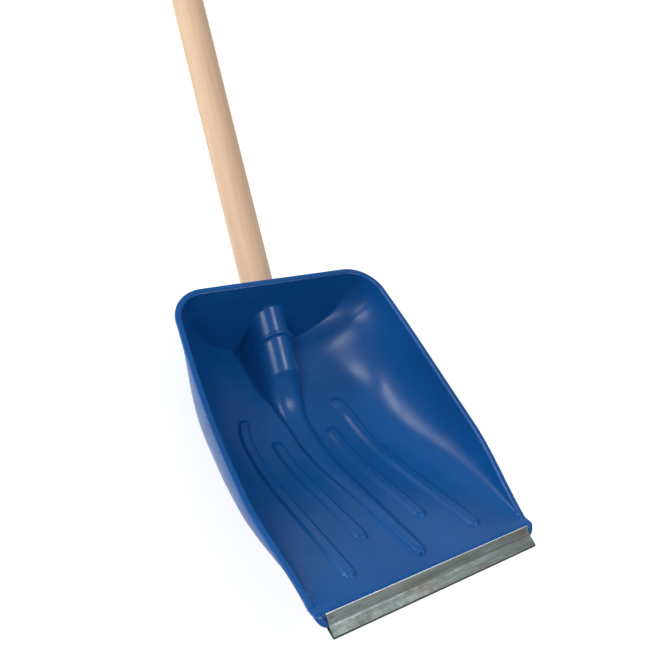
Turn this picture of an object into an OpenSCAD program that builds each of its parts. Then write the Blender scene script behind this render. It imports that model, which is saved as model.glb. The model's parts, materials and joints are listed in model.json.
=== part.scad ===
// Snow shovel: a moulded scoop with a socket, a folded metal edge strip, a wooden handle and its screw.
// It lies on its heel and on the end of its handle, with the scoop open upwards.
// Row frame: +X across the scoop, +Y along the handle, +Z up, origin on the floor under the middle.
// Scoop frame, in which everything is drawn: x across, s forward from the rear rim, h down from its plane.

/* [Scoop] */
// Widest width over the rim
scoop_w = 275; // [265:1:285]
// Depth of the floor under the rim plane
scoop_depth = 99; // [94:1:103]
// Radius of the two rear corners, seen from above
corner_r = 40; // [32:1:44]
// Width of the rim band
band_w = 6.5; // [5:0.5:8]
// Step from the rim band down to the inside of the wall
band_step = 1.6; // [1:0.1:2.4]
// Thickness of the rim flange
flange_t = 3; // [2.5:0.1:4]
// Wall thickness of the moulding
wall_t = 3; // [2.5:0.1:3.1]
// Lean of the back wall from the upright
back_lean = 12; // [9:0.5:15]

/* [Ribs] */
// Half width of the central rib near the front
spine_w = 9.5; // [7:0.5:11]
// Height of the central rib near the front
spine_h = 4.5; // [3:0.5:6]
// Width of the four side ribs
rib_w = 14.5; // [10:0.5:16]
// Height of the four side ribs
rib_h = 3.4; // [2:0.1:4]

/* [Socket] */
// Outer radius of the socket tube
socket_r = 22; // [21:0.1:24]
// Length of the socket, from its mouth to the end of the tube
socket_l = 101; // [98:1:106]
// Height of the bead round the tube
bead_h = 3.4; // [2:0.1:4]
// Angle between the handle and the rim plane
handle_angle = 25.5; // [25:0.1:26]

/* [Edge strip] */
// Length of the metal strip
strip_l = 230; // [220:1:234]
// Thickness of the sheet metal
strip_t = 0.9; // [0.6:0.1:0.9]

/* [Handle] */
// Diameter of the wooden handle
handle_d = 36; // [34:0.5:37]
// Whole length of the wooden handle
handle_l = 1300; // [900:10:1500]
// Diameter at the seated end of its taper
handle_tip_d = 33; // [30:0.5:34]
// Height of the rounded free end
handle_dome = 11; // [6:1:16]

/* [Screw] */
// Shank diameter of the wood screw
screw_d = 4; // [3:0.5:5]
// Length of the wood screw under its head
screw_l = 24; // [18:1:28]

/* [Hidden] */
$fn = 64;
blue = [0.11, 0.31, 0.59];
zinc = [0.55, 0.57, 0.56];
wood = [0.82, 0.71, 0.59];
steel = [0.7, 0.7, 0.72];

// Outline: widest at widest_s, drawn in a little to the rear and more to the front, with round front corners.
scoop_l = 347.5;
widest_s = 205;
rear_draw = 8.6;
rear_run = 155;
front_draw = 13.5;
front_from = 220;
front_to = 340;
nose_r = 13;

// Rim and floor: the rim sags in the middle, and the front lip of the floor turns down into the strip.
rim_sag = 4.5;
sag_run = 330;
step_from = 290;
step_to = 335;
floor_zero_s = 329.5;
floor_slope = 0.585;
floor_blend = 24;
lip_s = 337.3;
lip_h = -4;
lip_slope = 0.33;
lip_blend = 2;
back_blend = 6;

// Walls: the two powers of the cross-section, round at the rear and boxy at the front.
rear_power = [1.8, 1.7];
middle_power = [4.4, 2.05];
front_power = [8, 2.9];
rear_change = [40, 125];
front_change = [150, 320];

// The handle's axis passes through this point. Places along it are measured from there to its free end.
axis_s = -19.4;
axis_h = 40.6;
mouth_at = -10;
tube_end_at = mouth_at - socket_l;
seat_end_at = tube_end_at + 6;
free_end_at = seat_end_at + handle_l;
handle_r = handle_d / 2;
tube_nose = 14;
seat_gap = 0.15;

// The screw's head sits on a round boss under the tube, screw_seat from the axis, and has a cross recess.
screw_at = -94;
screw_seat = socket_r + 2;
screw_head_r = 4.2;
screw_head_h = 2.4;
screw_tip_r = 0.3;
boss_r = 7;
recess_l = 4.6;
recess_w = 1.1;

// Central rib: the socket's flanks run down to the floor and narrow into a rib with a round tip.
tube_end_s = 81;
spine_low_s = 138;
spine_end_s = 322.5;
spine_start_s = 20;
spine_s = [34, 50, 66, tube_end_s - 2, 84, 90, 97, 104, 113, 124, spine_low_s, 160, 190, 230, 270, 300, 310,
           314, 318, 320.5, spine_end_s - 0.8];
spine_inset = 0.2;
spine_rear_w = 17;
spine_rear_h = 7;
spine_w_change = [120, 335];
spine_h_change = [150, 300];
spine_flank = 4;
spine_power = 2.8;
foot_w = 23.2;
foot_change = [84, 134];
spine_sink = 1.5;
bead_s = 41.5;
bead_w = 4.6;

// Side ribs: first and last s, and the way their middle lines run.
inner_rib = [142.5, 289];
outer_rib = [108.5, 318.5];
inner_rib_x = 34.8;
rib_bend_s = 141;

// Grid of the shell: stations from rear to front, and columns on each side of the middle.
columns = 15;
row_s = concat(
    [for (i = [0:10]) band_w + 3 * i],
    [for (i = [0:12]) 46 + 21 * i],
    [315, 329, 336, 342, scoop_l]
);
rows = len(row_s);
wide = 2 * columns + 1;

function smooth(a, b, x) = let (t = min(1, max(0, (x - a) / (b - a)))) t * t * (3 - 2 * t);
function mix(a, b, t) = a + (b - a) * t;
function soft_min(a, b, k) = let (e = max(0, k - abs(a - b)) / k) min(a, b) - e * e * k / 4;
function soft_max(a, b, k) = -soft_min(-a, -b, k);
function point(x, s, h) = [x, -s, -h];

// Half width of the rim's outer edge on the long sides.
function side_w(s) =
    let (rear = max(0, widest_s - max(s, corner_r)) / rear_run, nose = max(0, s - scoop_l + nose_r))
    scoop_w / 2 - rear_draw * rear * rear - front_draw * smooth(front_from, front_to, s)
    - nose_r + sqrt(nose_r * nose_r - nose * nose);

// Half width at a distance d inside the outer edge, round the rear corners as well.
function half_w(s, d) =
    let (r = corner_r - d, q = min(r, max(0, corner_r - s)))
    s < corner_r ? side_w(s) - corner_r + sqrt(r * r - q * q) : side_w(s) - d;

function rim_h(s) =
    min(rim_sag * pow(sin(180 * min(1, s / sag_run)), 2), floor_h(s) - step_h(s) - 0.1);
function step_h(s) = band_step * (1 - smooth(step_from, step_to, s)) + 0.1;
function floor_h(s) = soft_max(
    soft_min(scoop_depth, floor_slope * (floor_zero_s - s), floor_blend),
    lip_h + lip_slope * (s - lip_s), lip_blend);
function wall_power(s) =
    mix(mix(rear_power, middle_power, smooth(rear_change[0], rear_change[1], s)),
        front_power, smooth(front_change[0], front_change[1], s));

// Height of the pan at (x, s): d is where the surface starts inside the outer edge, and t the wall under it.
function pan_h(x, s, d, top, t) =
    let (p = wall_power(s), across = min(1, abs(x) / half_w(s, d)))
    let (bowl = mix(top, floor_h(s) + t, pow(1 - pow(across, p[0]), 1 / p[1])))
    max(top, soft_min(bowl, top + (s - d) / tan(back_lean), back_blend));
function inside_h(x, s) = pan_h(x, s, band_w, rim_h(s) + step_h(s), 0);
function outside_h(x, s) = pan_h(x, s, band_w - wall_t, rim_h(s) + flange_t, wall_t);

// Outline curves. The rear one runs from the middle to half way round the corner, and the side one goes on.
arc_l = corner_r * PI / 4;
flat_l = side_w(0) - corner_r;
function corner(angle, d) =
    [flat_l + (corner_r - d) * sin(angle), corner_r - (corner_r - d) * cos(angle)];
function rear_edge(a, d) =
    let (run = a * (flat_l + arc_l))
    run < flat_l ? [run, d] : corner((run - flat_l) / corner_r * 180 / PI, d);
function side_edge(b, d) =
    let (run = b * (arc_l + scoop_l - corner_r), s = run - arc_l + corner_r)
    run < arc_l ? corner(45 + run / corner_r * 180 / PI, d) : [side_w(s) - d, s];

// The plan of the grid is blended from those curves, the middle line and the front edge.
function plan(a, b, d) =
    let (side = side_edge(b, d), rear = rear_edge(a, d), nose = side_edge(1, d), bend = rear_edge(1, d))
    [(1 - b) * rear[0] + b * a * nose[0] + a * side[0] - a * (1 - b) * bend[0] - a * b * nose[0],
     (1 - b) * rear[1] + b * scoop_l + (1 - a) * mix(d, scoop_l, b) + a * side[1]
     - (1 - a) * (1 - b) * d - a * (1 - b) * bend[1] - (1 - a) * b * scoop_l - a * b * scoop_l];
function across(i) = sin(90 * abs(i) / columns);
function along(j) = (row_s[j] - band_w) / (scoop_l - band_w);
function side_of(i) = i < 0 ? -1 : 1;

inside_points = [for (j = [0:rows - 1]) for (i = [-columns:columns])
    let (p = plan(across(i), along(j), band_w))
    point(side_of(i) * p[0], p[1], inside_h(p[0], p[1]))];
outside_points = [for (j = [0:rows - 1]) for (i = [-columns:columns])
    let (p = plan(across(i), along(j), band_w - wall_t))
    point(side_of(i) * p[0], p[1], outside_h(p[0], p[1]))];

// Path round the rim, left front to right front, and the section swept along it.
path = concat(
    [for (j = [rows - 1:-1:0]) [-columns, j]],
    [for (i = [1 - columns:columns]) [i, 0]],
    [for (j = [1:rows - 1]) [columns, j]]
);
rim_section = [[band_w - 0.7, 0], [0.8, 0], [0, 0.8], [0, flange_t]];
function rim_plan(q, d) =
    abs(q[0]) == columns ? side_edge(along(q[1]), d) : rear_edge(across(q[0]), d);
rim_points = [for (q = path) for (k = rim_section)
    let (p = rim_plan(q, k[0]))
    point(side_of(q[0]) * p[0], p[1], rim_h(p[1]) + k[1])];

function grid_at(q) = q[1] * wide + q[0] + columns;
ring = len(rim_section);
under = rows * wide;
rim_start = 2 * under;
function quad(a, b, c, d) = [[a, b, c], [a, c, d]];

module shell() {
    top_faces = [for (j = [0:rows - 2]) for (i = [0:wide - 2])
        let (a = j * wide + i) for (f = quad(a, a + 1, a + wide + 1, a + wide)) f];
    bottom_faces = [for (f = top_faces) [f[0] + under, f[2] + under, f[1] + under]];
    rim_faces = [for (n = [0:len(path) - 2])
        let (a = grid_at(path[n]), b = grid_at(path[n + 1]), c = rim_start + n * ring, d = c + ring)
        for (f = concat(
            quad(a, c, d, b),
            [for (k = [0:ring - 2]) for (g = quad(c + k, c + k + 1, d + k + 1, d + k)) g],
            quad(c + ring - 1, a + under, b + under, d + ring - 1)
        )) f];
    front = (rows - 1) * wide;
    front_faces = [for (i = [0:wide - 2])
        for (f = quad(front + i, front + i + 1, front + under + i + 1, front + under + i)) f];
    left_end = concat([front + under], [for (k = [ring - 1:-1:0]) rim_start + k], [front]);
    last = rim_start + (len(path) - 1) * ring;
    right_end = concat([front + wide - 1], [for (k = [0:ring - 1]) last + k], [front + under + wide - 1]);
    polyhedron(
        points = concat(inside_points, outside_points, rim_points),
        faces = concat(top_faces, bottom_faces, rim_faces, front_faces, [left_end, right_end])
    );
}

// A solid through equal sections, each a list of points that turns the same way.
module loft(sections) {
    n = len(sections[0]);
    polyhedron(
        points = [for (section = sections) for (p = section) p],
        faces = concat(
            [[for (i = [0:n - 1]) i]],
            [for (k = [0:len(sections) - 2]) for (i = [0:n - 1])
                let (a = k * n + i, b = k * n + (i + 1) % n) for (f = quad(a, a + n, b + n, b)) f],
            [[for (i = [n - 1:-1:0]) (len(sections) - 1) * n + i]]
        )
    );
}

// Section of the socket's flanks and the central rib: an arch on two flanks that reach into the floor.
function axis_depth(s) = axis_h + (s - axis_s) * tan(handle_angle);
function spine_wide(s) =
    mix(spine_rear_w, spine_w, smooth(spine_w_change[0], spine_w_change[1], s))
    + (foot_w - spine_rear_w) * (1 - smooth(foot_change[0], foot_change[1], s));
function nose_share(s) =
    let (w = spine_wide(s), q = max(0, s - spine_end_s + w) / w)
    sqrt(max(0.01, 1 - q * q));
function spine_rise(s) =
    mix(spine_rear_h, spine_h, smooth(spine_h_change[0], spine_h_change[1], s)) - spine_sink;
// The arch turns down sharply where the tube ends.
function low_share(s) =
    1 - pow(min(1, max(0, (spine_low_s - s) / (spine_low_s - tube_end_s + 2))), 1.9);
// Half width, base depth and height of the arch, and half the width of its foot.
function arch_at(s) =
    let (t = low_share(s), nose = nose_share(s))
    [mix(socket_r, spine_wide(s) - spine_flank, t) * nose,
     mix(axis_depth(s), floor_h(s) - spine_sink, t),
     mix(socket_r / cos(handle_angle), spine_rise(s), t) * nose,
     spine_wide(s) * nose];
arch_turns = [90, 60, 30, 0, -30, -60, -90];
function spine_section(s, lean, grow) =
    let (arch = arch_at(s) + [grow, 0, grow, grow], foot = arch[3], deep = floor_h(s) + wall_t / 2)
    let (power = mix(2, spine_power, low_share(s)))
    [for (p = concat([[foot, deep]],
                     [for (t = arch_turns)
                         [arch[0] * sin(t), arch[1] - arch[2] * sqrt(1 - pow(abs(sin(t)), power))]],
                     [[-foot, deep]]))
        point(p[0], lean ? band_w - wall_t / 2 + p[1] * tan(back_lean) : s, p[1])];

module spine() {
    loft(concat(
        [spine_section(spine_start_s, true, -spine_inset)],
        [for (s = spine_s) spine_section(s, false, -spine_inset)]
    ));
}

module bead() {
    loft([for (e = [[-bead_w / 2, -1], [-bead_w / 4, bead_h], [bead_w / 4, bead_h], [bead_w / 2, -1]])
        spine_section(bead_s + e[0], false, e[1])]);
}

// One side rib: a low ridge with round ends that follows its middle line.
function outer_x(s) = 65.5 + 0.04 * (s - rib_bend_s) - 0.0065 * pow(max(0, rib_bend_s - s), 2);
module side_rib(side, span, inner) {
    steps = 14;
    loft([for (n = [0:steps])
        let (t = (1 - cos(180 * n / steps)) / 2, s = mix(span[0], span[1], t))
        let (ends = min(s - span[0], span[1] - s), r = rib_w / 2)
        let (w = r * sqrt(max(0.02, 1 - pow(max(0, r - ends) / r, 2))))
        let (x = side * (inner ? inner_rib_x : outer_x(s)))
        [for (p = [[w, 1], [0.6 * w, -rib_h], [-0.6 * w, -rib_h], [-w, 1]])
            point(x + p[0], s, inside_h(x + p[0], s) + p[1] * w / r)]]);
}

// Turns +Z to run along the handle towards its free end, and +Y to point under the shovel.
module on_axis(at) {
    translate(point(0, axis_s - at * cos(handle_angle), axis_h - at * sin(handle_angle)))
        rotate([handle_angle - 90, 0, 0]) children();
}

// Turns +Z to run up into the handle from the seat of the screw's head.
module on_screw() {
    on_axis(screw_at) translate([0, screw_seat, 0]) rotate([90, 0, 0]) children();
}

// The space for the handle's seated end.
module seat() {
    on_axis(seat_end_at - seat_gap) cylinder(
        h = mouth_at - seat_end_at + seat_gap,
        r1 = handle_tip_d / 2 + seat_gap, r2 = handle_r + seat_gap
    );
}

module scoop() {
    color(blue) difference() {
        union() {
            shell();
            spine();
            bead();
            for (side = [-1, 1]) {
                side_rib(side, inner_rib, true);
                side_rib(side, outer_rib, false);
            }
            on_axis(tube_end_at) cylinder(h = socket_l, r = socket_r);
            on_axis(tube_end_at - tube_nose) cylinder(h = tube_nose, r1 = socket_r - 8, r2 = socket_r);
            on_screw() cylinder(h = screw_seat - handle_r, r = boss_r);
        }
        seat();
        on_screw() translate([0, 0, -1]) cylinder(h = screw_seat - handle_r + 3, r = screw_d / 2 + seat_gap);
    }
}

// The strip's sheet, from the back edge of its upper leg round the fold to the back edge of its lower leg.
strip_line = [
    [337.4, -4.65], [346.75, -1.55], [355.4, -1.15], [356.4, -0.4],
    [356.4, 0.2], [355.4, 0.85], [346.75, 3.15], [338.5, 0.4]
];
function normal(a, b) = let (d = b - a) [-d[1], d[0]] / norm(d);
function sheet_side(line, d) = [for (i = [0:len(line) - 1])
    let (before = normal(line[max(0, i - 1)], line[max(1, i)]),
         after = normal(line[min(len(line) - 2, i)], line[min(len(line) - 1, i + 1)]))
    line[i] + d * (before + after) / (1 + before * after)];
strip_outline = concat(
    sheet_side(strip_line, strip_t / 2),
    [for (i = [len(strip_line) - 1:-1:0]) sheet_side(strip_line, -strip_t / 2)[i]]
);

module edge_strip() {
    color(zinc) translate([-strip_l / 2, 0, 0]) rotate([90, 0, 90]) linear_extrude(strip_l)
        polygon([for (p = strip_outline) -p]);
}

module handle() {
    color(wood) difference() {
        on_axis(seat_end_at) rotate_extrude() polygon(concat(
            [[0, 0], [handle_tip_d / 2, 0], [handle_r, mouth_at - seat_end_at]],
            [for (t = [0:10:80]) [handle_r * cos(t), handle_l - handle_dome + handle_dome * sin(t)]],
            [[0, handle_l]]
        ));
        screw_body();
    }
}

// The screw's shank and point.
module screw_body() {
    on_screw() {
        cylinder(h = screw_l - screw_d, r = screw_d / 2);
        translate([0, 0, screw_l - screw_d]) cylinder(h = screw_d, r1 = screw_d / 2, r2 = screw_tip_r);
    }
}

module handle_screw() {
    color(steel) {
        screw_body();
        difference() {
            on_screw() rotate_extrude() polygon([
                [0, 0], [screw_head_r, 0], [screw_head_r, -screw_head_h / 2],
                [screw_head_r * 0.8, -screw_head_h * 0.9], [screw_head_r * 0.5, -screw_head_h],
                [0, -screw_head_h]
            ]);
            for (turn = [0, 90])
                on_screw() rotate([0, 0, turn]) translate([-recess_l / 2, -recess_w / 2, -screw_head_h - 1])
                    cube([recess_l, recess_w, 1 + screw_head_h / 2]);
        }
    }
}

// The rest on the floor: tilt the handle until its end and the heel are equally low.
function flat_y(p) = -p[0] * cos(handle_angle) - p[1] * sin(handle_angle);
function flat_z(p) = p[0] * sin(handle_angle) - p[1] * cos(handle_angle);
heel_line = [for (p = outside_points) if (p[0] == 0) [-p[1], -p[2]]];
heel_lows = [for (p = heel_line) flat_z(p)];
heel = heel_line[search(min(heel_lows), heel_lows)[0]];
axis_point = [axis_s, axis_h];
end_run = flat_y(axis_point) + free_end_at - handle_dome - flat_y(heel);
rest_tilt = atan2(flat_z(axis_point) - handle_r - flat_z(heel), end_run);
rest_angle = handle_angle + rest_tilt;
function rest_y(p) = -p[0] * cos(rest_angle) - p[1] * sin(rest_angle);
function rest_z(p) = p[0] * sin(rest_angle) - p[1] * cos(rest_angle);
floor_z = min([for (p = outside_points) rest_z([-p[1], -p[2]])]);
front_y = min([for (p = strip_outline) rest_y(p)]);
back_y = rest_y(axis_point) + free_end_at * cos(rest_tilt);

module at_rest() {
    translate([0, -(front_y + back_y) / 2, -floor_z]) rotate([-rest_angle, 0, 0]) children();
}

at_rest() scoop();
at_rest() edge_strip();
at_rest() handle();
at_rest() handle_screw();
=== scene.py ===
"""Looks of the snow shovel: moulded blue scoop, folded metal edge strip, wooden handle and its screw."""

import math

import json

import bpy
import numpy as np
from mathutils import Matrix, Vector


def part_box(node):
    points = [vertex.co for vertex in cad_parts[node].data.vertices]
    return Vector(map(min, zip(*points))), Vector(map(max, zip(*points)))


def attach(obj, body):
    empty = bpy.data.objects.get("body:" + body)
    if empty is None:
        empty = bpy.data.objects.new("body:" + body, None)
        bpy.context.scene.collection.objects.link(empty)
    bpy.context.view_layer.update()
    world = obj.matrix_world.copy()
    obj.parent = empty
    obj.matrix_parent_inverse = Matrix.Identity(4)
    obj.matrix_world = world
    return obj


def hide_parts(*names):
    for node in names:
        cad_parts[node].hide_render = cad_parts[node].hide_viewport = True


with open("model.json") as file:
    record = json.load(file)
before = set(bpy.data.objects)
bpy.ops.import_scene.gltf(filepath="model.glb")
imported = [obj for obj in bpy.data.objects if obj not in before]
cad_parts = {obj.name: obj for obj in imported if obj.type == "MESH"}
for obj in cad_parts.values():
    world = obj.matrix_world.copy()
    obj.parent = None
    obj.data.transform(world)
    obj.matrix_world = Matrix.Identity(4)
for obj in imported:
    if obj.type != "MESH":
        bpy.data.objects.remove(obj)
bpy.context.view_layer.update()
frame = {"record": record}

# Sizes in millimetres, in the scoop's own frame: x across, s forward from the rear rim, and h down from
# its plane. A name that ends in CHANGE holds the two places along s between which something changes.
SCOOP_W, SCOOP_L, DEPTH = 275.0, 347.5, 99.0
CORNER_R, NOSE_R = 40.0, 13.0
BAND_W, BAND_STEP, FLANGE_T, WALL_T = 6.5, 1.6, 3.0, 3.0
BACK_TAN, BACK_BLEND = math.tan(math.radians(12)), 6.0

# The outline draws in from its widest place towards the rear, and again near the front.
WIDEST_S, REAR_RUN, REAR_DRAW = 205.0, 155.0, 8.6
FRONT_DRAW, FRONT_DRAW_CHANGE = 13.5, (220.0, 340.0)

# The rim sags in the middle, and the front lip of the floor turns down into the strip.
RIM_SAG, SAG_RUN = 4.5, 330.0
STEP_CHANGE, LEAST_STEP = (290.0, 335.0), 0.1
FLOOR_SLOPE, FLOOR_ZERO_S, FLOOR_BLEND = 0.585, 329.5, 24.0
LIP_H, LIP_SLOPE, LIP_S, LIP_BLEND = -4.0, 0.33, 337.3, 2.0

# The two powers of the side wall's section, round at the rear and boxy at the front.
REAR_POWERS, MIDDLE_POWERS, FRONT_POWERS = (1.8, 1.7), (4.4, 2.05), (8.0, 2.9)
REAR_WALL_CHANGE, FRONT_WALL_CHANGE = (40.0, 125.0), (150.0, 320.0)

# The socket tube about the handle's axis, with its bead, and the spine that it runs out into.
HANDLE_ANGLE = math.radians(25.5)
AXIS_S, AXIS_H = -19.4, 40.6
SOCKET_R, TUBE_FOOT, TUBE_END_S, TUBE_END_AT = 22.0, 23.2, 81.0, -111.0
BEAD_S, BEAD_W, BEAD_H = 41.5, 4.6, 3.4
BEAD_FOOT, BEAD_FLANK = 0.6, 0.75
SPINE_REAR_W, SPINE_FRONT_W, SPINE_LOW_S, SPINE_END_S = 17.0, 9.5, 138.0, 322.5
SPINE_REAR_H, SPINE_FRONT_H, SPINE_FLANK, SPINE_SINK = 7.0, 4.5, 4.0, 1.5
SPINE_W_CHANGE, SPINE_H_CHANGE, TUBE_FOOT_CHANGE = (120.0, 335.0), (150.0, 300.0), (84.0, 134.0)
# Powers of the arch: a circle's over the tube, and a fuller one over the spine.
TUBE_POWER, SPINE_POWER = 2.0, 2.8
DROP_LEAD, DROP_POWER = 2.0, 1.9

# The side ribs: first and last s, and their middle lines. The outer ones bend inwards behind a point.
RIB_W, RIB_H = 14.5, 3.4
RIB_FLANK, RIB_REACH = 0.55, 1.05
INNER_RIB, OUTER_RIB = (142.5, 289.0), (108.5, 318.5)
INNER_RIB_X, OUTER_RIB_X, OUTER_RIB_SLOPE = 34.8, 65.5, 0.04
RIB_BEND_S, RIB_BEND = 141.0, 0.0065


def smooth(a, b, x):
    t = np.clip((x - a) / (b - a), 0, 1)
    return t * t * (3 - 2 * t)


def mix(a, b, t):
    return a + (b - a) * t


def soft_min(a, b, k):
    e = np.clip(k - np.abs(a - b), 0, None) / k
    return np.minimum(a, b) - e * e * k / 4


def soft_max(a, b, k):
    return -soft_min(-a, -b, k)


def side_w(s):
    """Half the width over the rim, with the round front corners."""
    rear = np.clip(WIDEST_S - np.maximum(s, CORNER_R), 0, None) / REAR_RUN
    nose = np.clip(s - SCOOP_L + NOSE_R, 0, NOSE_R)
    draw = REAR_DRAW * rear**2 + FRONT_DRAW * smooth(*FRONT_DRAW_CHANGE, s)
    return SCOOP_W / 2 - draw - NOSE_R + np.sqrt(NOSE_R**2 - nose**2)


def half_w(s, d):
    """Half the width at a distance d inside the outline, round the rear corners as well."""
    r = CORNER_R - d
    q = np.clip(CORNER_R - s, 0, r)
    return np.where(s < CORNER_R, side_w(s) - CORNER_R + np.sqrt(r * r - q * q), side_w(s) - d)


def floor_h(s):
    bowl = soft_min(DEPTH, FLOOR_SLOPE * (FLOOR_ZERO_S - s), FLOOR_BLEND)
    return soft_max(bowl, LIP_H + LIP_SLOPE * (s - LIP_S), LIP_BLEND)


def step_h(s):
    return BAND_STEP * (1 - smooth(*STEP_CHANGE, s)) + LEAST_STEP


def rim_h(s):
    sag = RIM_SAG * np.sin(math.pi * np.clip(s / SAG_RUN, 0, 1)) ** 2
    return np.minimum(sag, floor_h(s) - step_h(s) - LEAST_STEP)


def wall_power(s):
    near, far = smooth(*REAR_WALL_CHANGE, s), smooth(*FRONT_WALL_CHANGE, s)
    powers = zip(REAR_POWERS, MIDDLE_POWERS, FRONT_POWERS)
    return [mix(mix(rear, middle, near), front, far) for rear, middle, front in powers]


def pan_h(x, s, d, top, t):
    """Depth of a surface of the pan, which starts d inside the outline at depth top and lies t lower."""
    p = wall_power(s)
    across = np.clip(np.abs(x) / np.maximum(half_w(s, d), 1), 0, 1)
    bowl = mix(top, floor_h(s) + t, (1 - across ** p[0]) ** (1 / p[1]))
    return np.maximum(top, soft_min(bowl, top + (s - d) / BACK_TAN, BACK_BLEND))


def axis_depth(s):
    return AXIS_H + (s - AXIS_S) * math.tan(HANDLE_ANGLE)


def bead_grow(s):
    """How far the bead stands out of the tube."""
    e = np.clip(1 - np.abs(s - BEAD_S) / (BEAD_W / 2 + BEAD_FOOT), 0, 1)
    return BEAD_H * smooth(0, BEAD_FLANK, e)


def spine_w(s):
    """Half the width of the spine at its foot, before its front end is rounded."""
    far = mix(SPINE_REAR_W, SPINE_FRONT_W, smooth(*SPINE_W_CHANGE, s))
    return far + (TUBE_FOOT - SPINE_REAR_W) * (1 - smooth(*TUBE_FOOT_CHANGE, s))


def nose_share(s, least=0.1):
    """How much of the spine's width is left towards its round front end."""
    w = spine_w(s)
    q = np.clip((s - SPINE_END_S + w) / w, 0, 1)
    return np.sqrt(np.clip(1 - q * q, least**2, 1))


def low_share(s):
    """How far the top has come down from the tube to the spine. It turns sharply where the tube ends."""
    left = np.clip((SPINE_LOW_S - s) / (SPINE_LOW_S - TUBE_END_S + DROP_LEAD), 0, 1)
    return 1 - left**DROP_POWER


def arch_at(s, least=0.1):
    """Half width, base depth and height of the spine's arched top, and half its width at the foot."""
    t = low_share(s)
    nose = nose_share(s, least)
    foot = spine_w(s) * nose + bead_grow(s)
    width = mix(SOCKET_R, spine_w(s) - SPINE_FLANK, t) * nose + bead_grow(s)
    rise = mix(SPINE_REAR_H, SPINE_FRONT_H, smooth(*SPINE_H_CHANGE, s)) - SPINE_SINK
    base = mix(axis_depth(s), floor_h(s) - SPINE_SINK, t)
    height = mix(SOCKET_R / math.cos(HANDLE_ANGLE), rise, t) * nose + bead_grow(s)
    return width, base, height, foot


def spine_h(x, s):
    """Depth of the tube's and spine's top: an arch on two flanks that reach into the floor."""
    width, base, height, foot = arch_at(s)
    x = np.abs(x)
    power = mix(TUBE_POWER, SPINE_POWER, low_share(s))
    arch = base - height * np.sqrt(np.clip(1 - (x / width) ** power, 0, 1))
    fall = (floor_h(s) + WALL_T / 2 - base) / np.maximum(foot - width, 0.5)
    return np.where(x < width, arch, base + fall * (x - width)) + np.clip(s - SPINE_END_S, 0, None)


def outer_x(s):
    bend = RIB_BEND * np.clip(RIB_BEND_S - s, 0, None) ** 2
    return OUTER_RIB_X + OUTER_RIB_SLOPE * (s - RIB_BEND_S) - bend


def rib_up(x, s):
    """How far the side ribs stand out of the floor."""
    up, r = 0 * x, RIB_W / 2
    for middle, (first, last) in ((INNER_RIB_X, INNER_RIB), (outer_x(s), OUTER_RIB)):
        over = np.clip(np.maximum(first + r - s, s - last + r), 0, None)
        out = np.sqrt((np.abs(x) - middle) ** 2 + over**2) / r
        up = up + RIB_H * smooth(0, RIB_FLANK, RIB_REACH - out)
    return up


SPINE_BLEND = 3.0


def inside_h(x, s):
    pan = pan_h(x, s, BAND_W, rim_h(s) + step_h(s), 0)
    return soft_min(pan, spine_h(x, s), SPINE_BLEND) - rib_up(x, s)


# Columns of the grid: over the spine, its flanks, the side ribs, and out to the rim. The edges are places
# beside the spine's foot and across a rib. The outer rib's columns run straight behind OUTER_FROM_S.
ARCH_COLUMNS, FLANK_COLUMNS, GAP_COLUMNS, WALL_COLUMNS = 10, 4, 4, 26
SPINE_EDGES = (0.9, 2.2)
RIB_EDGES = (-8.2, -7.2, -6.3, -5.2, -4.0, -1.8, 1.8, 4.0, 5.2, 6.3, 7.2, 8.2)
SPINE_GAP, RIB_GAP, OUTER_FROM_S = 4.0, 3.0, 98.0
# Narrowest share of the spine's width that its columns follow at its round end.
LEAST_NOSE = 0.55
# Widest share of the plan that the ribs' columns may take. Behind WALL_FROM_S the walls' columns are even.
WIDEST_SHARE, WALL_FROM_S = 0.95, 34.0
# Rows of the grid, as the end of each stretch along the middle line and its step. They are close together
# at the bead, at the tube's end and where the ribs end, and follow a quarter circle at the front.
ROW_STEPS = (
    (14, 0.9), (34, 0.8), (38, 1.4), (45, 0.5), (72, 1.8), (96, 1.2), (112, 1.3), (132, 2.2), (144, 1.1),
    (286, 3.2), (297, 1.0), (308, 1.6), (326, 0.8), (340, 1.4),
)
FRONT_ROWS, FRONT_RUN = 9, 8.0


def spaced(first, last, step):
    return np.linspace(first, last, max(2, round((last - first) / step) + 1))[:-1]


def stations():
    """Places along the middle line where the rows of the inner grid cross it."""
    rows, first = [], BAND_W
    for last, step in ROW_STEPS:
        rows.append(spaced(first, last, step))
        first = last
    turns = np.linspace(0.06, 1, FRONT_ROWS) * math.pi / 2
    rows.append(SCOOP_L - FRONT_RUN + FRONT_RUN * np.sin(turns))
    return np.concatenate(rows)


def corner(angle, d):
    flat = side_w(0.0) - CORNER_R
    return flat + (CORNER_R - d) * np.sin(angle), CORNER_R - (CORNER_R - d) * np.cos(angle)


def rear_edge(a, d):
    """The rear edge at a distance d inside the outline, from the middle to half way round the corner."""
    flat, arc = side_w(0.0) - CORNER_R, CORNER_R * math.pi / 4
    run = a * (flat + arc)
    x, s = corner((run - flat) / CORNER_R, d)
    straight = run < flat
    return np.where(straight, run, x), np.where(straight, d, s)


def side_edge(b, d):
    """The side edge, from half way round the corner to the front."""
    arc = CORNER_R * math.pi / 4
    run = b * (arc + SCOOP_L - CORNER_R)
    x, s = corner(math.pi / 4 + run / CORNER_R, d)
    s_long = run - arc + CORNER_R
    round_part = run < arc
    return np.where(round_part, x, side_w(s_long) - d), np.where(round_part, s, s_long)


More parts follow.
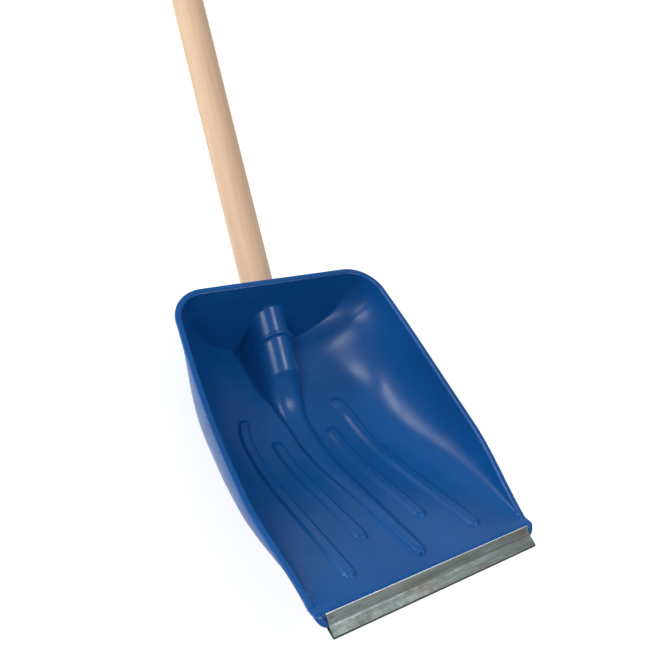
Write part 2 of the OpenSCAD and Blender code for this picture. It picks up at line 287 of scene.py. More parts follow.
def plan(a, b, d):
    """Point of the plan's right half, blended from the rear edge, the side edge and the middle line."""
    rear, side = rear_edge(a, d), side_edge(b, d)
    bend, nose = rear_edge(1.0, d), side_edge(1.0, d)
    x = (1 - b) * rear[0] + b * a * nose[0] + a * side[0] - a * (1 - b) * bend[0] - a * b * nose[0]
    middle = mix(d, SCOOP_L, b)
    s = ((1 - b) * rear[1] + b * SCOOP_L + (1 - a) * middle + a * side[1]
         - (1 - a) * (1 - b) * d - a * (1 - b) * bend[1] - b * SCOOP_L)
    return x, s


def feature_lines(s):
    """Places across, one column each, that follow the spine and the ribs."""
    width, _, _, foot = arch_at(s, least=LEAST_NOSE)
    turns = np.linspace(0, math.pi / 2, ARCH_COLUMNS + 1)
    lines = [width * math.sin(t) for t in turns]
    lines += [mix(width, foot, k / FLANK_COLUMNS) for k in range(1, FLANK_COLUMNS + 1)]
    lines += [foot + e for e in SPINE_EDGES]
    inner = np.maximum(INNER_RIB_X, foot + SPINE_GAP - RIB_EDGES[0])
    lines.append(mix(foot + SPINE_EDGES[-1], inner + RIB_EDGES[0], 0.5))
    lines += [inner + e for e in RIB_EDGES]
    outer = np.maximum(outer_x(np.maximum(s, OUTER_FROM_S)), inner + RIB_GAP + 2 * RIB_EDGES[-1])
    between = (inner + RIB_EDGES[-1], outer + RIB_EDGES[0])
    lines += [mix(*between, k / GAP_COLUMNS) for k in range(1, GAP_COLUMNS)]
    lines += [outer + e for e in RIB_EDGES]
    return np.array(lines)


def wall_spacing(rows, first):
    """Shares of the way from the last rib column to the rim, at even steps along the wall's section."""
    shares = []
    for s, x_first in zip(rows, first):
        x = mix(x_first, float(half_w(s, BAND_W)), 1 - (1 - np.linspace(0, 1, 300)) ** 3)
        h = pan_h(x, s + 0 * x, BAND_W, rim_h(s), 0) * (s > WALL_FROM_S)
        run = np.concatenate([[0], np.cumsum(np.hypot(np.diff(x), np.diff(h)))])
        even = np.interp(np.linspace(0, run[-1], WALL_COLUMNS + 1), run, x)
        shares.append((even - x_first) / (x[-1] - x_first))
    return np.array(shares)[:, 1:]


def grid_shares():
    """Where the grid's points lie, as shares a out from the middle and b from rear to front."""
    rows = stations()
    b = ((rows - BAND_W) / (SCOOP_L - BAND_W))[:, None]
    a = feature_lines(rows).T / half_w(rows, BAND_W)[:, None]
    for _ in range(8):
        x, s = plan(a, b, BAND_W)
        target = np.stack([feature_lines(s[:, k])[k] for k in range(s.shape[1])], axis=1)
        a = np.clip(a * target / np.maximum(x, 1e-6), 0, WIDEST_SHARE)
        a[:, 0] = 0
    out = 1 - a[:, -1:]
    wall = 1 - out * (1 - wall_spacing(rows, plan(a, b, BAND_W)[0][:, -1]))
    return np.concatenate([a, wall], axis=1), b


# The scoop's frame in the row frame. The handle's mount gives its tilt, and the handle's box its place.
HANDLE_R, HANDLE_TIP_R, HANDLE_L, HANDLE_DOME = 18.0, 16.5, 1300.0, 11.0
MOUTH_AT, SEAT_END_AT, SEAT_GAP = -10.0, -105.0, 0.15
FREE_END_AT = SEAT_END_AT + HANDLE_L
SCREW_AT, SCREW_SEAT = -94.0, 24.0

mount = frame["record"]["mounts"][0]
REST = HANDLE_ANGLE + math.atan2(-mount["axis"][2], mount["axis"][1])


def turned(x, s, h):
    """A direction or point of the scoop's frame, turned to the rest of the row frame, in millimetres."""
    y = -s * math.cos(REST) - h * math.sin(REST)
    z = s * math.sin(REST) - h * math.cos(REST)
    return np.stack(np.broadcast_arrays(x, y, z), axis=-1)


def from_axis(x, up, at):
    """Scoop frame point from a place about the handle's axis: across, up, and along to its free end."""
    cos, sin = math.cos(HANDLE_ANGLE), math.sin(HANDLE_ANGLE)
    return x, AXIS_S - at * cos + up * sin, AXIS_H - at * sin - up * cos


def from_screw(x, y, z):
    """Scoop frame point from a place about the screw. Its z runs up from the seat of the screw's head."""
    return from_axis(x, z - SCREW_SEAT, SCREW_AT - y)


def handle_shift():
    low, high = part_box("handle")
    end = turned(*from_axis(0, 0, FREE_END_AT))
    dome = turned(*from_axis(0, 0, FREE_END_AT - HANDLE_DOME))
    return np.array([0, high.y * 1000 - end[1], low.z * 1000 + HANDLE_R - dome[2]])


SHIFT = handle_shift()


def in_row(points):
    """Scoop frame points (x, s, h) in millimetres to the row frame in metres."""
    x, s, h = (np.asarray(c, float) for c in points)
    return (turned(x, s, h) + SHIFT) / 1000


# Mesh making.
def make_mesh(name, points, faces):
    mesh = bpy.data.meshes.new(name)
    mesh.from_pydata(in_row(points).tolist(), [], faces)
    mesh.validate()
    piece = bpy.data.objects.new(name, mesh)
    bpy.context.scene.collection.objects.link(piece)
    return piece


def lattice(rows, columns, first=0, closed=False):
    """Quads of a grid of points, rows first. A closed one joins its last column to its first."""
    steps = columns if closed else columns - 1
    return [
        (first + j * columns + i, first + j * columns + (i + 1) % columns,
         first + (j + 1) * columns + (i + 1) % columns, first + (j + 1) * columns + i)
        for j in range(rows - 1) for i in range(steps)
    ]


def tube_faces(rows, columns):
    """Faces of a closed solid made of rings of points, with its two ends."""
    ends = [tuple(range(columns))[::-1], tuple((rows - 1) * columns + i for i in range(columns))]
    return lattice(rows, columns, closed=True) + ends


def lathe(profile, segments):
    """A closed solid turned about the z axis, as points (x, y, z) and faces. The profile is (radius, z)."""
    r, z = np.array(profile, float).T
    turn = np.linspace(0, 2 * math.pi, segments, endpoint=False)
    x, y = np.outer(r, np.sin(turn)), np.outer(r, np.cos(turn))
    return (x.ravel(), y.ravel(), np.repeat(z, segments)), tube_faces(len(r), segments)


def turned_on_handle(name, profile, segments=96):
    (x, y, z), faces = lathe(profile, segments)
    return make_mesh(name, from_axis(x, y, z), faces)


def turned_on_screw(name, profile, segments=48):
    (x, y, z), faces = lathe(profile, segments)
    return make_mesh(name, from_screw(x, y, z), faces)


def boolean(piece, other, operation):
    """Joins or cuts piece with a helper solid, which is then removed."""
    change = piece.modifiers.new(operation, "BOOLEAN")
    change.operation, change.object, change.solver = operation, other, "MANIFOLD"
    made = bpy.data.meshes.new_from_object(piece.evaluated_get(bpy.context.evaluated_depsgraph_get()))
    piece.modifiers.clear()
    old, piece.data = piece.data, made
    made.name = piece.name
    bpy.data.meshes.remove(old)
    bpy.data.objects.remove(other)


def finish_piece(piece, node, material, sharp=35.0, place=None):
    """Shading, the attribute that materials take their places from, and what the frame has to know."""
    mesh = piece.data
    mesh.polygons.foreach_set("use_smooth", [True] * len(mesh.polygons))
    mesh.set_sharp_from_angle(angle=math.radians(sharp))
    co = np.zeros(len(mesh.vertices) * 3)
    mesh.vertices.foreach_get("co", co)
    co = co.reshape(-1, 3) * 1000 - SHIFT
    s = -co[:, 1] * math.cos(REST) + co[:, 2] * math.sin(REST)
    h = -co[:, 1] * math.sin(REST) - co[:, 2] * math.cos(REST)
    local = np.stack([co[:, 0], s, h], axis=1)
    if place:
        local = place(local)
    mesh.attributes.new("place", "FLOAT_VECTOR", "POINT").data.foreach_set("vector", (local / 1000).ravel())
    mesh.materials.clear()
    mesh.materials.append(material)
    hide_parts(node)
    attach(piece, "root")


# Materials. The colours are sRGB, 0 to 255.
BLUE_DEEP, BLUE_LIGHT, BLUE_SCUFF = (7, 64, 121), (12, 71, 130), (58, 104, 160)
METAL_DARK, METAL_LIGHT, METAL_STREAK = (78, 86, 86), (100, 107, 106), (138, 145, 143)
# Brown stains, and a near-white painted highlight for the strip's cut edge.
METAL_STAIN, METAL_EDGE_HIGHLIGHT = (86, 76, 64), (205, 210, 206)
WOOD_PINK, WOOD_YELLOW, WOOD_BAND = (184, 156, 133), (190, 166, 136), (172, 142, 115)
WOOD_FIBRE, WOOD_PORE = (181, 150, 123), (138, 104, 78)
STEEL_LIGHT, STEEL_DARK = (200, 198, 190), (150, 148, 142)
# A near-white painted highlight along the strip's cut edge ends between these places along the scoop, in
# metres.
EDGE_HIGHLIGHT_S = (0.3377, 0.3383)


class Shader:
    """A node material that is built up by name, with its Principled shader ready."""

    def __init__(self, name, **values):
        self.material = bpy.data.materials.new(name)
        self.material.use_nodes = True
        self.tree = self.material.node_tree
        self.surface = self.tree.nodes["Principled BSDF"]
        for socket, value in values.items():
            self.surface.inputs[socket.replace("_", " ")].default_value = value

    def add(self, kind, inputs=None, **settings):
        node = self.tree.nodes.new("ShaderNode" + kind)
        for key, value in settings.items():
            setattr(node, key, value)
        for key, value in (inputs or {}).items():
            if isinstance(value, bpy.types.NodeSocket):
                self.tree.links.new(value, node.inputs[key])
            else:
                node.inputs[key].default_value = value
        return node

    def place(self, scale=(1, 1, 1), turn=(0, 0, 0)):
        source = self.add("Attribute", attribute_name="place").outputs["Vector"]
        return self.add("Mapping", {"Vector": source, "Scale": scale, "Rotation": turn}).outputs["Vector"]

    def noise(self, vector, scale, detail=2.0, rough=0.5, distortion=0.0):
        return self.add("TexNoise", {"Vector": vector, "Scale": scale, "Detail": detail, "Roughness": rough,
                                     "Distortion": distortion}).outputs["Fac"]

    def ramp(self, value, low, high, to_low=0.0, to_high=1.0, smooth_step=True):
        return self.add("MapRange", {"Value": value, "From Min": low, "From Max": high,
                                     "To Min": to_low, "To Max": to_high},
                        interpolation_type="SMOOTHSTEP" if smooth_step else "LINEAR").outputs["Result"]

    def math(self, operation, a, b=0.0, clamp=False):
        return self.add("Math", {0: a, 1: b}, operation=operation, use_clamp=clamp).outputs[0]

    def blend(self, share, a, b, kind="MIX"):
        return self.add("Mix", {0: share, 6: a, 7: b}, data_type="RGBA", blend_type=kind).outputs[2]

    def bump(self, height, distance, strength=1.0, below=None):
        inputs = {"Height": height, "Distance": distance, "Strength": strength}
        if below:
            inputs["Normal"] = below
        return self.add("Bump", inputs).outputs["Normal"]

    def link(self, output, socket):
        self.tree.links.new(output, self.surface.inputs[socket])


def colour(red, green, blue):
    """An sRGB colour as 0 to 255, in linear light."""
    linear = [((c / 255 + 0.055) / 1.055) ** 2.4 if c > 10 else c / 255 / 12.92 for c in (red, green, blue)]
    return (*linear, 1)


def plastic():
    """Satin blue polypropylene, with the faint unevenness of a moulding and a few light scuffs."""
    m = Shader("blue_plastic", IOR=1.49, Specular_IOR_Level=0.22)
    place = m.place()
    cloud = m.noise(place, 9, 3, 0.5)
    tone = m.blend(m.ramp(cloud, 0.3, 0.7), colour(*BLUE_DEEP), colour(*BLUE_LIGHT))
    scratch = m.noise(m.place((1, 0.04, 1), (0, 0, 0.12)), 700, 2, 0.55)
    patch = m.noise(place, 16, 2, 0.5)
    scuff = m.math("MULTIPLY", m.ramp(scratch, 0.56, 0.74), m.ramp(patch, 0.45, 0.65))
    m.link(m.blend(m.math("MULTIPLY", scuff, 0.10), tone, colour(*BLUE_SCUFF)), "Base Color")
    rough = m.ramp(m.noise(place, 40, 4, 0.6), 0.3, 0.7, 0.26, 0.33)
    m.link(m.math("ADD", rough, m.math("MULTIPLY", scuff, 0.06)), "Roughness")
    skin = m.bump(m.noise(place, 900, 2, 0.5), 0.00002, 0.1)
    m.link(m.bump(m.noise(place, 40, 2, 0.5), 0.0003, 0.12, skin), "Normal")
    return m.material


def sheet_metal():
    """Rolled sheet: grey with a greenish cast, brown stains, fine streaks along the strip, and a painted
    highlight on its cut edge.
    """
    m = Shader("sheet_metal", Metallic=1.0)
    place = m.place()
    along = m.place((0.03, 1, 1))
    fine = m.noise(along, 1800, 3, 0.6)
    broad = m.noise(along, 240, 3, 0.6)
    stain = m.ramp(m.noise(m.place((0.35, 1, 1)), 60, 4, 0.6, 0.4), 0.50, 0.68)
    tone = m.blend(m.ramp(broad, 0.3, 0.7), colour(*METAL_DARK), colour(*METAL_LIGHT))
    tone = m.blend(m.math("MULTIPLY", m.ramp(fine, 0.45, 0.7), 0.35), tone, colour(*METAL_STREAK))
    tone = m.blend(m.math("MULTIPLY", stain, 0.45), tone, colour(*METAL_STAIN))
    forward = m.add("SeparateXYZ", {"Vector": place}).outputs["Y"]
    # Painted highlight: the upper leg's cut edge, behind the first place, takes a near-white colour.
    m.link(m.blend(m.ramp(forward, *EDGE_HIGHLIGHT_S, 1.0, 0.0), tone, colour(*METAL_EDGE_HIGHLIGHT)), "Base Color")
    m.link(m.ramp(m.noise(place, 130, 4, 0.65), 0.25, 0.75, 0.36, 0.52), "Roughness")
    grain = m.bump(fine, 0.00003, 0.6)
    m.link(m.bump(m.noise(m.place((0.2, 1, 1)), 160, 3, 0.6), 0.00025, 0.4, grain), "Normal")
    return m.material


def wood():
    """Pale turned wood: fine grain lines along the handle, short pores and a slow drift of colour."""
    m = Shader("pale_wood", IOR=1.45, Specular_IOR_Level=0.35)
    along = m.place((1, 1, 0.02))
    fibre = m.noise(along, 650, 4, 0.65, 0.2)
    band = m.noise(m.place((1, 1, 0.06)), 90, 3, 0.55, 0.6)
    drift = m.noise(m.place((1, 1, 0.2)), 14, 2, 0.5)
    pore = m.ramp(m.noise(m.place((1, 1, 0.035)), 1500, 2, 0.5), 0.66, 0.74)
    tone = m.blend(m.ramp(drift, 0.3, 0.7), colour(*WOOD_PINK), colour(*WOOD_YELLOW))
    tone = m.blend(m.math("MULTIPLY", m.ramp(band, 0.42, 0.66), 0.5), tone, colour(*WOOD_BAND))
    tone = m.blend(m.math("MULTIPLY", m.ramp(fibre, 0.4, 0.75), 0.4), tone, colour(*WOOD_FIBRE))
    m.link(m.blend(m.math("MULTIPLY", pore, 0.35), tone, colour(*WOOD_PORE)), "Base Color")
    m.link(m.ramp(fibre, 0.3, 0.7, 0.50, 0.64), "Roughness")
    rise = m.bump(fibre, 0.00012, 0.35)
    m.link(m.bump(pore, 0.00006, -0.5, rise), "Normal")
    return m.material


def screw_steel():
    m = Shader("screw_steel", Metallic=1.0)
    place = m.place()
    spot = m.ramp(m.noise(place, 700, 3, 0.6), 0.4, 0.7)
    m.link(m.blend(spot, colour(*STEEL_LIGHT), colour(*STEEL_DARK)), "Base Color")
    m.link(m.ramp(m.noise(place, 1500, 2, 0.5), 0.3, 0.7, 0.25, 0.42), "Roughness")
    m.link(m.bump(m.noise(place, 2500, 2, 0.5), 0.00002, 0.5), "Normal")
    return m.material


# The scoop.
# Section of the rim from the inside of the wall over the band and round the flange: distance in from the
# outline, share of the step, and depth.
RIM_SECTION = (
    (6.46, 0.8, 0), (6.3, 0.5, 0.3), (6.1, 0.2, 0.7), (5.85, 0.02, 0.9), (5.6, 0, 0.7), (5.4, 0, 0.3),
    (5.2, 0, 0.05), (4.9, 0, 0), (3.2, 0, 0.04), (1.3, 0, 0), (0.8, 0, 0.1), (0.4, 0, 0.3),
    (0.12, 0, 0.62), (0, 0, 1.0), (0, 0, 2.2), (0.12, 0, 2.62), (0.4, 0, 2.9), (0.9, 0, 3.0), (2.2, 0, 3.0),
)
# The grooves under the ribs and the spine.
GROOVE_SHARE, GROOVE_FLANK, GROOVE_INSET = 0.86, 0.6, 1.5
SPINE_GROOVE_CHANGE, SPINE_GROOVE_WALL = (108.0, 142.0), 3.4
SPINE_GROOVE_END, SPINE_GROOVE_FADE = 3.0, 9.0
# The tube's round nose, and the depths between which its underside lies forward of TUBE_LOW_S.
TUBE_NOSE_L, TUBE_NOSE_LAP = 19.0, 3.0
TUBE_LOW_S, TUBE_LOW_FROM, TUBE_LOW_TO = 45.0, 96.0, 116.0
UNDER_BLEND = 2.0


def tube_low(x, s):
    """Depth of the underside of the socket tube and its round nose, or a small depth beside it."""
    nose_from = -TUBE_END_AT - TUBE_NOSE_LAP
    low, high = TUBE_LOW_FROM + 0 * x, TUBE_LOW_TO + 0 * x

    def inside(h):
        ds, dh = s - AXIS_S, h - AXIS_H
        cos, sin = math.cos(HANDLE_ANGLE), math.sin(HANDLE_ANGLE)
        run = ds * cos + dh * sin
        share = np.clip((run - nose_from) / TUBE_NOSE_L, 0, 1)
        return x**2 + (dh * cos - ds * sin) ** 2 < SOCKET_R**2 * (1 - share**2)

    touched = inside(low) & (s > TUBE_LOW_S)
    # Each round halves the range that the surface lies in.
    for _ in range(16):
        middle = (low + high) / 2
        within = inside(middle)
        low, high = np.where(within, middle, low), np.where(within, high, middle)
    return np.where(touched, low, 0)


def outside_h(x, s):
    """The underside: a wall's thickness below the pan, with the tube, and grooves under the ribs."""
    pan = pan_h(x, s, BAND_W - WALL_T, rim_h(s) + FLANGE_T, WALL_T)
    foot = spine_w(s) * nose_share(s)
    depth = np.clip(floor_h(s) + WALL_T - spine_h(0 * x, s) - SPINE_GROOVE_WALL, 0, SPINE_REAR_H)
    fade = smooth(0, SPINE_GROOVE_FADE, SPINE_END_S - SPINE_GROOVE_END - s)
    share = smooth(*SPINE_GROOVE_CHANGE, s) * fade
    out = np.abs(x) / np.maximum(foot - GROOVE_INSET, 1)
    groove = depth * share * smooth(0, GROOVE_FLANK, 1 - out)
    return soft_max(pan, tube_low(x, s), UNDER_BLEND) - groove - GROOVE_SHARE * rib_up(x, s)


def mirrored(x, s, h):
    """The full grid from its right half, as rows from left to right."""
    left = [np.fliplr(c)[:, :-1] for c in (x, s, h)]
    return [np.concatenate([sign * l, c], axis=1) for sign, l, c in zip((-1, 1, 1), left, (x, s, h))]


def rim_ring(a, b):
    """Points of the rim, as rows along its path from the left front to the right front."""
    path = []
    for d, step_share, depth in RIM_SECTION:
        side_x, side_s = side_edge(b[:, 0], d)
        rear_x, rear_s = rear_edge(a[0, :-1], d)
        x = np.concatenate([-side_x[::-1], -rear_x[:0:-1], rear_x, side_x])
        s = np.concatenate([side_s[::-1], rear_s[:0:-1], rear_s, side_s])
        path.append((x, s, rim_h(s) + step_share * step_h(s) + depth))
    return [np.stack([p[k] for p in path], axis=1) for k in range(3)]


def scoop_shell():
    """The scoop's moulded sheet: its upper grid, its underside and, between them, the ring round the rim."""
    a, b = grid_shares()
    top = plan(a, b, BAND_W)
    top = mirrored(*top, inside_h(*top))
    low = plan(a, b, BAND_W - WALL_T)
    low = mirrored(*low, outside_h(*low))
    ring = rim_ring(a, b)
    rows, wide = top[0].shape
    long, ring_n = ring[0].shape
    count = rows * wide
    points = [np.concatenate([top[k].ravel(), low[k].ravel(), ring[k].ravel()]) for k in range(3)]
    edge = [j * wide for j in range(rows - 1, -1, -1)] + list(range(1, wide - 1))
    edge += [j * wide + wide - 1 for j in range(rows)]
    faces = [tuple(reversed(f)) for f in lattice(rows, wide)] + lattice(rows, wide, first=count)
    first = 2 * count
    faces += [tuple(reversed(f)) for f in lattice(long, ring_n, first=first)]
    for n in range(long - 1):
        here, there = first + n * ring_n, first + (n + 1) * ring_n
        faces.append((edge[n], edge[n + 1], there, here))
        faces.append((here + ring_n - 1, there + ring_n - 1, edge[n + 1] + count, edge[n] + count))
    front = (rows - 1) * wide
    faces += [(front + i, front + count + i, front + count + i + 1, front + i + 1) for i in range(wide - 1)]
    last = first + (long - 1) * ring_n
    faces.append((front, *range(first, first + ring_n), front + count))
    faces.append((front + wide - 1, front + count + wide - 1, *range(last + ring_n - 1, last - 1, -1)))
    return make_mesh("scoop_body", points, faces)


def rounded_end(radius, end, blend, steps=4, sign=1):
    """Profile points of a rounded edge of a turned solid, from its side to its end."""
    turns = np.linspace(0, math.pi / 2, steps + 1)
    return [(radius - blend * (1 - math.cos(t)), end - sign * blend * (1 - math.sin(t))) for t in turns]


# Turned solids start and end in a flat face of this radius.
HUB_R = 0.5
COLLAR_R, COLLAR_FROM, MOUTH_ROUND, MOUTH_R = SOCKET_R - 0.15, -62.0, 1.2, HANDLE_R + 1.0
BOSS_R, BOSS_H, BOSS_ROUND = 7.0, 14.0, 0.7
HOLE_R, HOLE_FROM, HOLE_TO = 2.15, -2.0, 9.0
# How far a cutting solid runs out past the mouth.
PAST_MOUTH = 5.0


def scoop():
    """The sheet, with the collar behind it and the screw's boss joined on, and the seat and hole cut out."""
    piece = scoop_shell()
    collar = [(HUB_R, COLLAR_FROM), (COLLAR_R, COLLAR_FROM)]
    collar += rounded_end(COLLAR_R, MOUTH_AT, MOUTH_ROUND) + [(HUB_R, MOUTH_AT)]
    boolean(piece, turned_on_handle("collar", collar), "UNION")
    boss = [(HUB_R, BOSS_H), (BOSS_R, BOSS_H)]
    boss += rounded_end(BOSS_R, 0.0, BOSS_ROUND, sign=-1) + [(HUB_R, 0.0)]
    boolean(piece, turned_on_screw("boss", boss[::-1]), "UNION")
    seat_from, seat_to = SEAT_END_AT - SEAT_GAP, MOUTH_AT + PAST_MOUTH
    seat = [(HUB_R, seat_from), (HANDLE_TIP_R + SEAT_GAP, seat_from),
            (HANDLE_R + SEAT_GAP, MOUTH_AT - MOUTH_ROUND), (MOUTH_R, MOUTH_AT + 0.1),
            (MOUTH_R, seat_to), (HUB_R, seat_to)]
    boolean(piece, turned_on_handle("seat", seat), "DIFFERENCE")
    hole = [(HUB_R, HOLE_FROM), (HOLE_R, HOLE_FROM), (HOLE_R, HOLE_TO), (HUB_R, HOLE_TO)]
    boolean(piece, turned_on_screw("hole", hole), "DIFFERENCE")
    finish_piece(piece, "scoop", plastic())


# The edge strip.
STRIP_L, STRIP_T = 230.0, 0.9
STRIP_LINE = ((337.4, -4.65), (346.75, -1.55), (355.4, -1.15), (356.4, -0.4), (356.4, 0.2), (355.4, 0.85),
              (346.75, 3.15), (338.5, 0.4))
STRIP_BENDS = (1.2, 0.5, 0.3, 0.3, 0.5, 1.2)
# The sheet's cut edges are a little rounded, over this length and by this much.
EDGE_ROUND, EDGE_SHRINK = 0.35, 0.22
# Both legs are slightly wavy, which fades out towards the fold. A wave is (height, length, start).
STRIP_WAVES = ((0.05, 17, 0), (0.03, 7.3, 1))
FOLD_S, WAVE_FADE = 356.0, 5.0
DENT_IN, DENT_S, DENT_R, DENT_DEPTH = 4.5, 342.5, 1.3, 0.22


def ripple(at, waves):
    """A faint unevenness: waves of (height, length, start), added up."""
    return sum(height * np.sin(at / length + start) for height, length, start in waves)


def rounded_line(corners, bends, steps=6):
    """A polyline whose inner corners are rounded by a quadratic curve that starts `bends` before each."""
    corners = [np.array(c, float) for c in corners]
    out = [corners[0]]
    for before, here, after, reach in zip(corners, corners[1:], corners[2:], bends):
        start = here + (before - here) / np.linalg.norm(before - here) * reach
        end = here + (after - here) / np.linalg.norm(after - here) * reach
        for t in np.linspace(0, 1, steps + 1):
            out.append((1 - t) ** 2 * start + 2 * t * (1 - t) * here + t**2 * end)
    out.append(corners[-1])
    return np.array(out)


def fill_in(line, step):
    """The same line with more points on its long stretches."""
    out = [line[0]]
    for p, q in zip(line, line[1:]):
        n = max(1, int(np.linalg.norm(q - p) / step))
        out += [p + (q - p) * k / n for k in range(1, n + 1)]
    return np.array(out)


def strip_stations():
    """Places along the strip, from its middle, that are close together at its two cut ends."""
    close = np.array([0, 0.12, EDGE_ROUND, 0.8])
    along = np.concatenate([close[:-1], spaced(close[-1], STRIP_L - close[-1], 1.0), STRIP_L - close[::-1]])
    return along - STRIP_L / 2


def edge_strip():
    """The folded sheet, slightly wavy, with a shallow dent near each end of its upper leg."""
    middle = fill_in(rounded_line(STRIP_LINE, STRIP_BENDS), 0.8)
    run = np.gradient(middle, axis=0)
    normal = np.stack([-run[:, 1], run[:, 0]], axis=1) / np.linalg.norm(run, axis=1)[:, None]
    half = STRIP_T / 2
    section = np.concatenate([middle + half * normal, (middle - half * normal)[::-1]])
    centre = np.concatenate([middle, middle[::-1]])
    along = strip_stations()
    ends = np.clip(EDGE_ROUND - (STRIP_L / 2 - np.abs(along)), 0, EDGE_ROUND) / EDGE_ROUND
    shrink = EDGE_SHRINK * (1 - np.sqrt(1 - ends**2))
    thick = 1 - shrink[:, None] / half
    s, h = (centre[None, :, k] + (section - centre)[None, :, k] * thick for k in (0, 1))
    x = along[:, None] + 0 * s
    h = h + ripple(x, STRIP_WAVES) * smooth(0, WAVE_FADE, FOLD_S - s)
    for dent_x in (DENT_IN - STRIP_L / 2, STRIP_L / 2 - DENT_IN):
        out = np.hypot(x - dent_x, s - DENT_S)
        on_upper_leg = h < -1
        h = h + DENT_DEPTH * np.exp(-((out / DENT_R) ** 2)) * on_upper_leg
    faces = tube_faces(len(along), len(section))
    piece = make_mesh("folded_edge_strip", (x.ravel(), s.ravel(), h.ravel()), faces)
    finish_piece(piece, "edge_strip", sheet_metal(), sharp=40)


# The handle and its screw. The stick is a little uneven, about a radius that is HANDLE_UNDER smaller.
HANDLE_WAVES, WAVE_RUN, HANDLE_UNDER = ((0.06, 41, 0), (0.05, 97, 2)), 40.0, 0.06
TIP_CHAMFER, TAPER_STEPS, LONG_STEPS, DOME_STEPS, DOME_FLAT_R = 0.8, 6, 120, 14, 0.4


def handle():
    """The stick: chamfered tip, tapered seat, long slightly uneven part and domed free end."""
    profile = [(HANDLE_TIP_R - TIP_CHAMFER, SEAT_END_AT), (HANDLE_TIP_R, SEAT_END_AT + TIP_CHAMFER)]
    for k in range(1, TAPER_STEPS + 1):
        share = k / TAPER_STEPS
        profile.append((mix(HANDLE_TIP_R, HANDLE_R, share), mix(SEAT_END_AT, MOUTH_AT, share)))
    dome_at = FREE_END_AT - HANDLE_DOME
    for at in np.linspace(MOUTH_AT, dome_at, LONG_STEPS)[1:-1]:
        uneven = ripple(at, HANDLE_WAVES) * min(1, (at - MOUTH_AT) / WAVE_RUN)
        profile.append((HANDLE_R + uneven - HANDLE_UNDER, at))
    turns = np.linspace(0, math.pi / 2, DOME_STEPS)[:-1]
    profile += [(HANDLE_R * math.cos(t), dome_at + HANDLE_DOME * math.sin(t)) for t in turns]
    profile.append((DOME_FLAT_R, FREE_END_AT))
    piece = turned_on_handle("wooden_handle", profile)

    def about_axis(local):
        cos, sin = math.cos(HANDLE_ANGLE), math.sin(HANDLE_ANGLE)
        ds, dh = local[:, 1] - AXIS_S, local[:, 2] - AXIS_H
        return np.stack([local[:, 0], ds * sin - dh * cos, -ds * cos - dh * sin], axis=1)

    finish_piece(piece, "handle", wood(), place=about_axis)


SCREW_R, SCREW_L, SCREW_TIP_L = 2.0, 24.0, 5.0
THREAD_PITCH, THREAD_DEPTH, THREAD_START = 1.8, 0.5, (3.0, 5.0)
SCREW_HEAD_R, SCREW_HEAD_H, HEAD_EDGE_H, HEAD_FLAT = 4.2, 2.4, 0.5, 0.35
NECK_H, NECK_R, HEAD_SEAT_R = 0.6, SCREW_HEAD_R * 0.5, SCREW_HEAD_R * 0.97
# Half the length and half the width of a bar of the cross recess, its taper, and the place of its bottom.
RECESS_L, RECESS_W, RECESS_TAPER, RECESS_BOTTOM = 2.3, 0.55, 0.45, -0.9


def screw_head():
    head = [(HUB_R, NECK_H), (NECK_R, NECK_H), (HEAD_SEAT_R, 0.0)]
    for turn in np.linspace(0, math.pi / 2, 8):
        radius = SCREW_HEAD_R * (HEAD_FLAT + (1 - HEAD_FLAT) * math.cos(turn))
        head.append((radius, -HEAD_EDGE_H - (SCREW_HEAD_H - HEAD_EDGE_H) * math.sin(turn)))
    head.append((HUB_R, -SCREW_HEAD_H))
    return turned_on_screw("cross_head_screw", head[::-1])


def screw_shank():
    """The shank with its thread, a ridge whose place round the shank goes on with its height."""
    turn, rows = np.linspace(0, 2 * math.pi, 32, endpoint=False), np.linspace(0.2, SCREW_L, 150)
    tip = np.clip((SCREW_L - rows) / SCREW_TIP_L, 0.08, 1)[:, None]
    phase = rows[:, None] / THREAD_PITCH - turn[None, :] / (2 * math.pi)
    ridge = np.clip(1 - np.abs((phase % 1) - 0.5) * 4, 0, 1) * smooth(*THREAD_START, rows)[:, None]
    r = (SCREW_R - THREAD_DEPTH) * tip + THREAD_DEPTH * ridge * tip
    x, y, z = r * np.sin(turn), r * np.cos(turn), rows[:, None] + 0 * r
    return make_mesh("shank", from_screw(x.ravel(), y.ravel(), z.ravel()), tube_faces(len(rows), len(turn)))


def recess_bar(half_x, half_y):
    """One bar of the cross recess: a block that starts outside the head and narrows to its bottom."""
    corners = np.array([(-half_x, -half_y), (half_x, -half_y), (half_x, half_y), (-half_x, half_y)])
    x, y = np.concatenate([corners, RECESS_TAPER * corners]).T
    z = np.repeat([-SCREW_HEAD_H - 1, RECESS_BOTTOM], 4)
    faces = [(0, 1, 2, 3), (7, 6, 5, 4), (0, 4, 5, 1), (1, 5, 6, 2), (2, 6, 7, 3), (3, 7, 4, 0)]
    return make_mesh("recess", from_screw(x, y, z), faces)


def screw():
    """The head and the threaded shank, joined, with a cross recess cut into the head."""
    piece = screw_head()
    boolean(piece, screw_shank(), "UNION")
    for half_x, half_y in ((RECESS_W, RECESS_L), (RECESS_L, RECESS_W)):
        boolean(piece, recess_bar(half_x, half_y), "DIFFERENCE")
    finish_piece(piece, "handle_screw", screw_steel(), sharp=40)


# The floor, the light and the camera. Half the floor's side and its drop are in metres.
FLOOR_REACH, FLOOR_DROP = 12.0, 0.0005
WORLD_LIGHT = 0.46
# Lamps: bearing from +Y towards +X and height in degrees as seen from the scoop, distance, size and power.
LAMPS = (
    ("left_box", -74, 46, 1.6, 0.22, 0.6, 11),
    ("left_low_box", -58, 9, 1.9, 1.2, 0.26, 20),
    ("right_box", 66, 66, 1.5, 0.22, 0.3, 9),
)


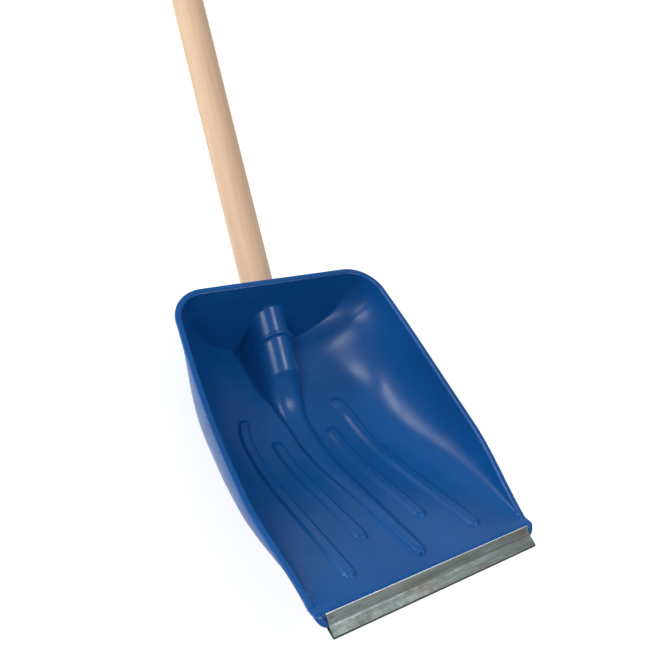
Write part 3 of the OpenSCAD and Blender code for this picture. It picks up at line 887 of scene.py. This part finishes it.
def pale_floor():
    """A plain pale floor that is lit a little from within, for a white background."""
    floor_mesh = bpy.data.meshes.new("floor")
    corners = [(FLOOR_REACH * x, FLOOR_REACH * y, 0) for x, y in ((-1, -1), (1, -1), (1, 1), (-1, 1))]
    floor_mesh.from_pydata(corners, [], [(0, 1, 2, 3)])
    floor = bpy.data.objects.new("floor", floor_mesh)
    bpy.context.scene.collection.objects.link(floor)
    pale = Shader("pale_floor", Base_Color=(0.9, 0.9, 0.9, 1), Roughness=0.9, Specular_IOR_Level=0.1,
                  Emission_Color=(1, 1, 1, 1), Emission_Strength=0.32)
    floor_mesh.materials.append(pale.material)
    floor.location.z = -FLOOR_DROP


def studio():
    """The floor, an even white world and the soft boxes."""
    pale_floor()
    world = bpy.data.worlds.new("studio")
    world.use_nodes = True
    world.node_tree.nodes["Background"].inputs["Color"].default_value = (1, 1, 1, 1)
    world.node_tree.nodes["Background"].inputs["Strength"].default_value = WORLD_LIGHT
    bpy.context.scene.world = world
    bpy.context.scene.view_settings.view_transform = "Standard"
    low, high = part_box("scoop")
    target = (low + high) / 2
    for name, azimuth, elevation, distance, width, height, power in LAMPS:
        lamp = bpy.data.lights.new(name, "AREA")
        lamp.shape, lamp.size, lamp.size_y, lamp.energy = "RECTANGLE", width, height, power
        holder = bpy.data.objects.new(name, lamp)
        bpy.context.scene.collection.objects.link(holder)
        a, e = math.radians(azimuth), math.radians(elevation)
        way = Vector((math.sin(a) * math.cos(e), math.cos(a) * math.cos(e), math.sin(e)))
        holder.location = target + way * distance
        holder.rotation_euler = way.to_track_quat("Z", "Y").to_euler()


LENS_MM, SENSOR_MM = 40.431, 36.0
# The camera's place in the scoop's frame, and its bearing, tilt up from straight down, and roll, in degrees.
CAMERA_PLACE = (-384.8, 422.1, -548.8)
CAMERA_BEARING, CAMERA_TILT, CAMERA_ROLL = -49.512, 44.587, 29.371


def camera():
    """Set where the shovel is seen from, and turned with the scoop's frame."""
    data = bpy.data.cameras.new("camera")
    data.sensor_width, data.lens = SENSOR_MM, LENS_MM
    data.clip_end = 100
    holder = bpy.data.objects.new("camera", data)
    bpy.context.scene.collection.objects.link(holder)
    turn = Matrix.Rotation(-REST, 4, "X")
    for angle, axis in ((CAMERA_BEARING, "Z"), (CAMERA_TILT, "X"), (CAMERA_ROLL, "Z")):
        turn = turn @ Matrix.Rotation(math.radians(angle), 4, axis)
    holder.matrix_world = Matrix.Translation(in_row(CAMERA_PLACE)) @ turn
    bpy.context.scene.camera = holder


camera()
scoop()
edge_strip()
handle()
screw()
studio()
